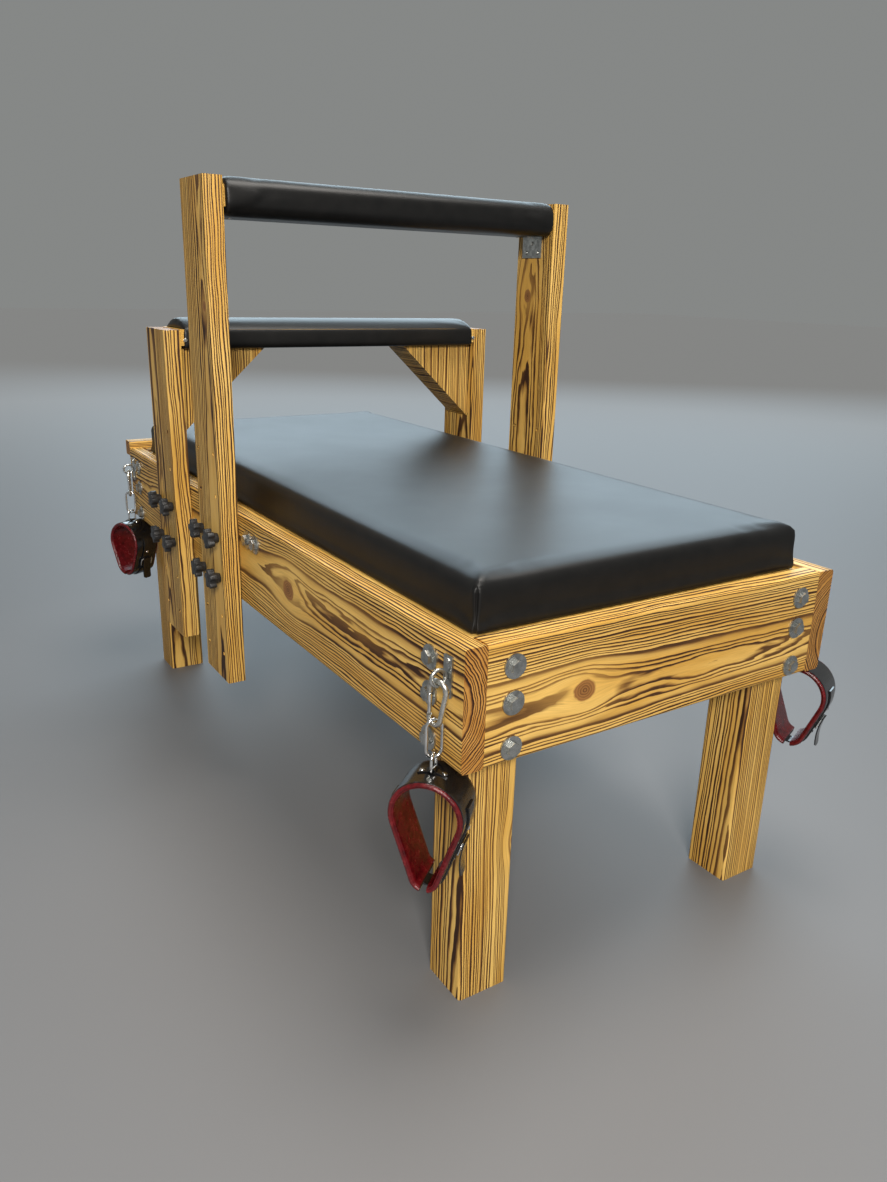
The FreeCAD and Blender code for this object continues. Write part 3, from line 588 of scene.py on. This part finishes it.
def banded(half_y, half_z, depth, square, gap, offset=0.0):
    """A closed band of that section, its middle line that deep under the cuff's outside."""
    bm = bmesh.new()
    crown, foot = crown_r - depth, foot_r - depth
    outline = section(bm, half_y, half_z, (0, offset, -(tall - crown_r - foot_r) - foot),
                      square)
    opening = edges_of(outline)
    last = wrap(bm, outline, crown, foot, gap)
    if gap:
        bmesh.ops.contextual_create(bm, geom=opening)
        bmesh.ops.contextual_create(bm, geom=edges_of(last))
    bmesh.ops.remove_doubles(bm, verts=bm.verts, dist=2e-5)
    return bm


def wire_loop(bm, half, bottom, top, low_r, high_r, wire):
    """A closed ring of round wire in the XZ plane, with its own radius at each corner."""
    ring = bmesh.ops.create_circle(bm, cap_ends=False, radius=wire, segments=14)["verts"]
    bmesh.ops.translate(bm, verts=ring, vec=(half, 0, (top + bottom) / 2))
    last = ring + list({e for v in ring for e in v.link_edges})
    runs = [((0, 0, 1), top - high_r - (top + bottom) / 2, (half - high_r, top - high_r)),
            ((-1, 0, 0), 2 * (half - high_r), (high_r - half, top - high_r)),
            ((0, 0, -1), top - high_r - bottom - low_r, (low_r - half, bottom + low_r)),
            ((1, 0, 0), 2 * (half - low_r), (half - low_r, bottom + low_r))]
    for way, length, (cx, cz) in runs:
        if length > 1e-6:
            last = bmesh.ops.spin(bm, geom=last, axis=(0, -1, 0), angle=0.0, steps=4,
                                  dvec=Vector(way) * (length / 4))["geom_last"]
        last = bmesh.ops.spin(bm, geom=last, axis=(0, -1, 0), angle=math.pi / 2, steps=9,
                              cent=(cx, 0, cz))["geom_last"]
    bmesh.ops.spin(bm, geom=last, axis=(0, -1, 0), angle=0.0, steps=2,
                   dvec=Vector((0, 0, 1)) * (((top + bottom) / 2 - bottom - low_r) / 2))
    bmesh.ops.remove_doubles(bm, verts=bm.verts, dist=2e-5)


def rivet(bm, seat, out, radius=0.0040):
    """A low dome, its rim on the leather."""
    dome = bmesh.ops.create_uvsphere(bm, u_segments=20, v_segments=10, radius=radius)["verts"]
    facing_out = UP.rotation_difference(Vector(out)).to_matrix().to_4x4()
    flat = Matrix.Diagonal((1, 1, 0.45, 1))
    bmesh.ops.transform(bm, verts=dome, matrix=Matrix.Translation(seat) @ facing_out @ flat)


for corner in CORNERS:
    heading, tall, foot_r = hangs[corner]
    lean = math.asin((crown_r - foot_r) / (tall - crown_r - foot_r))
    side_out = Vector((-math.cos(lean), 0, -math.sin(lean)))
    side_down = Vector((math.sin(lean), 0, -math.cos(lean)))
    node = "cuff_" + corner
    pivot = Vector(next(j for j in frame["joints"] if j["child"] == node)["pos_m"])
    turn = math.radians(heading)
    axis = Vector((-math.sin(turn), -math.cos(turn), 0))
    across = axis.cross(UP)
    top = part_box(node)[1][2] - 0.032
    place = Matrix.Translation((pivot.x, pivot.y, top - crown_r)) @ Matrix(
        (across, axis, UP)).transposed().to_4x4()
    parts = {}
    # Outer leather, then the padding with its creases, then the piped rim on each side.
    parts["band"] = (banded(wide / 2, hide / 2, hide / 2, 0.12, mouth), black_leather)
    soft = banded(wide / 2 + 0.002, padding / 2, hide + padding / 2, 0.22, mouth)
    drop = tall - crown_r - foot_r
    for v in soft.verts:
        if v.co.z < -drop or abs(v.co.y) > crease_reach:
            continue
        around = math.atan2(v.co.x, v.co.z + 0.03)
        pinch = max(0.0, math.cos(around * creases + crease_slant * v.co.y)) ** 6
        v.co.x *= 1 + 0.028 * pinch
        v.co.z += 0.0012 * pinch * (1 if v.co.z > 0 else 0)
    parts["lining"] = (soft, red_lining)
    for end, side in (("near", 1), ("far", -1)):
        parts["piping_" + end] = (banded(0.0034, 0.0034, hide + 0.0012, 1.0, mouth,
                                         side * (wide / 2 + 0.0012)), red_lining)
    parts["strap"] = (banded(strap_wide / 2, strap_thick / 2, -strap_thick / 2, 0.12, 0.0),
                      black_leather)
    # Keep the strap below its upper fixing on both sides of the crown.
    strap = parts["strap"][0]
    bmesh.ops.bisect_plane(strap, geom=strap.verts[:] + strap.edges[:] + strap.faces[:],
                           plane_co=(0, 0, crown_r - 0.040), plane_no=(0, 0, 1),
                           clear_outer=True)
    bmesh.ops.holes_fill(strap, edges=[e for e in strap.edges if e.is_boundary])
    # D ring, the tab that holds it down, and the tab's rivets.
    ring = bmesh.new()
    wire_loop(ring, 0.0105, 0.0022, 0.0298, 0.0035, 0.0105, 0.0022)
    bmesh.ops.transform(ring, verts=ring.verts, matrix=Matrix.Translation((0, 0, crown_r))
                        @ Matrix.Rotation(math.pi / 2, 4, "Z"))
    parts["ring"] = (ring, bright_steel)
    tab = bmesh.new()
    strip = section(tab, 0.0060, 0.0010, (0, 0, crown_r + 0.0012), 0.15, 16)
    bmesh.ops.rotate(tab, verts=verts_of(strip), cent=(0, 0, 0),
                     matrix=Matrix.Rotation(-0.40, 3, "Y"))
    cap_a = edges_of(strip)
    last = bmesh.ops.spin(tab, geom=strip, axis=(0, 1, 0), angle=0.80, steps=32)["geom_last"]
    bmesh.ops.contextual_create(tab, geom=cap_a)
    bmesh.ops.contextual_create(tab, geom=edges_of(last))
    for v in tab.verts:
        rise = math.hypot(v.co.x, v.co.z)
        hump = 0.0046 * math.exp(-(v.co.x / 0.0042) ** 4)
        v.co += Vector((v.co.x, 0, v.co.z)).normalized() * hump
    parts["tab"] = (tab, black_leather)
    rivets = bmesh.new()
    for tilt in (-0.30, 0.30):
        out = Vector((math.sin(tilt), 0, math.cos(tilt)))
        rivet(rivets, out * (crown_r + 0.0022), out)
    for side in (-1, 1):
        out = Vector((side * math.cos(lean), 0, -math.sin(lean)))
        down = Vector((-side * math.sin(lean), 0, -math.cos(lean)))
        rivet(rivets, out * (crown_r + strap_thick) + down * 0.004, out, 0.0042)
    rivet(rivets, side_out * (crown_r + strap_thick) + side_down * 0.060, side_out, 0.0036)
    parts["rivets"] = (rivets, bright_steel)
    # Buckle frame with its prong, and the strap's loose end curling away from it.
    buckle = bmesh.new()
    wire_loop(buckle, 0.0165, -0.0095, 0.0095, 0.0035, 0.0035, 0.0017)
    prong = bmesh.ops.create_cone(buckle, cap_ends=True, segments=12, radius1=0.0015,
                                  radius2=0.0010, depth=0.0220)["verts"]
    bmesh.ops.translate(buckle, verts=prong, vec=(0, -0.0018, 0))
    stand = Matrix((Vector((0, 1, 0)), -side_out, -side_down)).transposed().to_4x4()
    seat = side_out * (crown_r + strap_thick + 0.0018) + side_down * 0.034
    bmesh.ops.transform(buckle, verts=buckle.verts, matrix=Matrix.Translation(seat) @ stand)
    parts["buckle"] = (buckle, bright_steel)
    tail = bmesh.new()
    strip = section(tail, strap_wide / 2 - 0.001, 0.0012, (0, 0, 0), 0.12, 20)
    cap_a = edges_of(strip)
    last = bmesh.ops.spin(tail, geom=strip, axis=(0, 1, 0), angle=0.50, steps=18,
                          cent=(0, 0, 0.118))["geom_last"]
    for v in verts_of(last):
        v.co.y *= 0.55
    bmesh.ops.contextual_create(tail, geom=cap_a)
    bmesh.ops.contextual_create(tail, geom=edges_of(last))
    lay = Matrix((-side_down, Vector((0, 1, 0)), side_out)).transposed().to_4x4()
    root = side_out * (crown_r + strap_thick + 0.0042) + side_down * 0.022
    bmesh.ops.transform(tail, verts=tail.verts, matrix=Matrix.Translation(root) @ lay)
    parts["tail"] = (tail, black_leather)
    for part_name, (bm, look) in parts.items():
        bmesh.ops.transform(bm, verts=bm.verts, matrix=place)
        piece = finished(bm, part_name + "_" + node, node, look)
        if part_name == "band":
            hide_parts(node)


# ---- Floor, light and camera ----------------------------------------------------------
# A pale floor whose far part has a painted glow, in a soft-lit room, seen from above the bench's
# front left corner.
floor_bm = bmesh.new()
bmesh.ops.create_grid(floor_bm, x_segments=1, y_segments=1, size=30.0)
floor_mesh = bpy.data.meshes.new("floor")
floor_bm.to_mesh(floor_mesh)
floor_bm.free()
floor = bpy.data.objects.new("floor", floor_mesh)
bpy.context.collection.objects.link(floor)
paint, tree, bsdf = new_material("pale_floor")
bsdf.inputs["Base Color"].default_value = (0.165, 0.165, 0.170, 1)
bsdf.inputs["Roughness"].default_value = 0.6
# Painted glow: the floor emits light that grows with distance, so the far floor takes on the
# room's own brightness and meets the walls softly.
spot = put(tree, "ShaderNodeTexCoord").outputs["Object"]
far_floor_glow = put(tree, "ShaderNodeVectorMath", {0: spot}, operation="LENGTH").outputs["Value"]
far_floor_glow = put(tree, "ShaderNodeMapRange", {0: far_floor_glow, 1: 1.6, 2: 7.0, 3: 0.0, 4: 0.165}).outputs[0]
bsdf.inputs["Emission Color"].default_value = (1.0, 1.0, 0.97, 1)
tree.links.new(far_floor_glow, bsdf.inputs["Emission Strength"])
floor_mesh.materials.append(paint)

world = bpy.data.worlds.new("room")
world.use_nodes = True
world.node_tree.nodes["Background"].inputs[0].default_value = (0.97, 1.0, 0.98, 1)
world.node_tree.nodes["Background"].inputs[1].default_value = 0.245
bpy.context.scene.world = world


def lamp(name, place, aim, size, power, colour):
    light = bpy.data.lights.new(name, "AREA")
    light.shape = "RECTANGLE"
    light.size, light.size_y = size
    light.energy = power
    light.color = colour
    holder = bpy.data.objects.new(name, light)
    holder.location = place
    holder.rotation_euler = (Vector(aim) - Vector(place)).to_track_quat("-Z", "Y").to_euler()
    bpy.context.collection.objects.link(holder)


lamp("overhead", (0.3, -0.6, 3.4), (0, 0, 0.4), (1.8, 1.5), 90, (1.0, 0.96, 0.90))
lamp("front", (-1.9, -3.4, 2.4), (0, 0, 0.5), (1.0, 0.9), 165, (1.0, 0.96, 0.90))
lamp("rear_wash", (4.2, 5.6, 4.6), (0, 0, 0.6), (9.0, 5.0), 560, (0.68, 0.87, 1.0))

yaw, pitch, roll = math.radians(32.94), math.radians(-18.60), math.radians(1.59)
ahead = Vector((math.cos(pitch) * math.sin(yaw), math.cos(pitch) * math.cos(yaw),
                math.sin(pitch)))
level = ahead.cross(UP).normalized()
over = level.cross(ahead)
right = level * math.cos(roll) + over * math.sin(roll)
upward = over * math.cos(roll) - level * math.sin(roll)
lens = bpy.data.cameras.new("view")
lens.lens = 914.8 / 1182 * 36
lens.sensor_width = 36
camera = bpy.data.objects.new("view", lens)
camera.matrix_world = Matrix.Translation((-1.0145, -1.7463, 1.0731)) @ Matrix(
    (right, upward, -ahead)).transposed().to_4x4()
bpy.context.collection.objects.link(camera)
bpy.context.scene.camera = camera
bpy.context.scene.view_settings.view_transform = "Standard"
